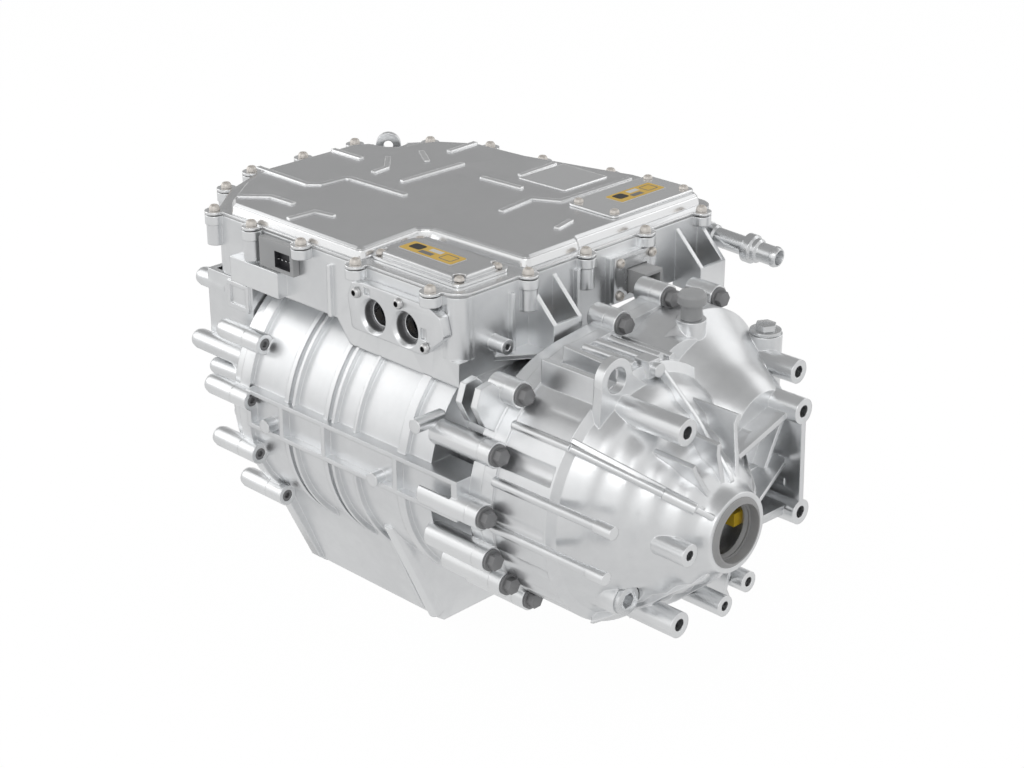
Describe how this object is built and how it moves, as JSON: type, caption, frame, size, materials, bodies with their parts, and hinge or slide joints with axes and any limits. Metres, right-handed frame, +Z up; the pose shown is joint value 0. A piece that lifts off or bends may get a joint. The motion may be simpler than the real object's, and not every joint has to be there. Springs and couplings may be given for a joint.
{
  "type": "electric drive unit",
  "caption": "Coaxial electric drive unit: motor barrel, two-stage reduction gearbox with differential, and a saddle-mounted inverter box with power and signal ports.",
  "frame": {"origin": "middle of the right-hand output opening, on the plane of the gearbox nose face", "axes": "+X along the motor shaft from the motor to the gearbox end, +Z up towards the inverter lid, -Y towards the front with the two power sockets"},
  "size_m": [0.5725, 0.3585, 0.3403],
  "materials": {
    "cast_aluminium": "satin as-cast",
    "cover_grey": "satin",
    "gasket_grey": "matt",
    "zinc_screws": "satin zinc",
    "bolt_dark": "satin zinc flake",
    "gear_steel": "ground",
    "bearing_steel": "polished",
    "cage_plastic": "matt",
    "case_iron": "machined cast",
    "lamination_steel": "laminated edge",
    "magnet_grey": "ground",
    "machined_aluminium": "machined",
    "copper": "bare copper",
    "seal_rubber": "matt",
    "guide_yellow": "matt",
    "plastic_grey": "fine grain",
    "plastic_dark": "moulded",
    "board_green": "solder resist"
  },
  "bodies": {
    "housing": {"motor_housing": "cast_aluminium", "rear_cover": "cast_aluminium", "gearbox_housing": "cast_aluminium", "bearing_bridge": "cast_aluminium", "inverter_housing": "cast_aluminium", "inverter_cover": "cover_grey", "cover_gasket": "gasket_grey", "cover_screws": "zinc_screws", "service_cover_front": "cover_grey", "service_cover_rear": "cover_grey", "m4_screws": "zinc_screws", "joint_bolts": "bolt_dark", "rear_cover_bolts": "bolt_dark", "bracket_screws": "zinc_screws", "bridge_screws": "zinc_screws", "dowel_pins": "gear_steel", "fill_plug": "machined_aluminium", "level_plug": "machined_aluminium", "breather_cap": "plastic_grey", "hv_port_block": "cast_aluminium", "hv_terminals": "copper", "port_screws": "zinc_screws", "lv_connector": "plastic_grey", "connector_plate": "machined_aluminium", "signal_connector": "plastic_grey", "coolant_inlet": "machined_aluminium", "coolant_outlet": "machined_aluminium", "power_module": "plastic_dark", "dc_link_capacitor": "plastic_dark", "control_board": "board_green", "phase_busbars": "copper", "stator_core": "lamination_steel", "stator_winding": "copper", "cooling_sleeve": "machined_aluminium", "output_seal_right": "seal_rubber", "output_seal_left": "seal_rubber", "oil_guide": "guide_yellow", "resolver_stator": "lamination_steel", "bearing_outer_rings": "bearing_steel", "bearing_cages": "cage_plastic"},
    "rotor": {"rotor_shaft": "gear_steel", "rotor_core": "lamination_steel", "rotor_magnets": "magnet_grey", "rotor_end_plates": "machined_aluminium", "rotor_bearing_inner": "bearing_steel", "resolver_rotor": "lamination_steel"},
    "layshaft": {"layshaft": "gear_steel", "layshaft_wheel": "gear_steel", "layshaft_bearing_inner": "bearing_steel"},
    "differential": {"differential_case": "case_iron", "ring_gear": "gear_steel", "ring_gear_bolts": "bolt_dark", "cross_pin": "gear_steel", "differential_bearing_inner": "bearing_steel"},
    "left_output": {"side_gear_left": "gear_steel", "intermediate_shaft": "gear_steel", "tail_bearing_inner": "bearing_steel"},
    "right_output": {"side_gear_right": "gear_steel"},
    "spider_upper": {"spider_gear_upper": "gear_steel"},
    "spider_lower": {"spider_gear_lower": "gear_steel"}
  },
  "joints": [
    {"name": "differential_spin", "type": "hinge", "parent": "housing", "child": "differential", "pos_m": [0, 0, 0], "axis": [1, 0, 0], "continuous": true},
    {"name": "layshaft_spin", "type": "hinge", "parent": "housing", "child": "layshaft", "pos_m": [0, 0.09537, 0.03007], "axis": [1, 0, 0], "continuous": true},
    {"name": "rotor_spin", "type": "hinge", "parent": "housing", "child": "rotor", "pos_m": [0, 0, 0], "axis": [1, 0, 0], "continuous": true},
    {"name": "left_output_spin", "type": "hinge", "parent": "differential", "child": "left_output", "pos_m": [0, 0, 0], "axis": [1, 0, 0], "continuous": true},
    {"name": "right_output_spin", "type": "hinge", "parent": "differential", "child": "right_output", "pos_m": [0, 0, 0], "axis": [1, 0, 0], "continuous": true},
    {"name": "spider_upper_spin", "type": "hinge", "parent": "differential", "child": "spider_upper", "pos_m": [-0.077, 0, 0], "axis": [0, 0, 1], "continuous": true},
    {"name": "spider_lower_spin", "type": "hinge", "parent": "differential", "child": "spider_lower", "pos_m": [-0.077, 0, 0], "axis": [0, 0, 1], "continuous": true}
  ],
  "couplings": [
    {"joint": "layshaft_spin", "follows": "rotor_spin", "ratio": -0.36986},
    {"joint": "differential_spin", "follows": "rotor_spin", "ratio": 0.1152},
    {"joint": "right_output_spin", "follows": "left_output_spin", "ratio": -1},
    {"joint": "spider_upper_spin", "follows": "left_output_spin", "ratio": 1.6},
    {"joint": "spider_lower_spin", "follows": "left_output_spin", "ratio": -1.6}
  ]
}
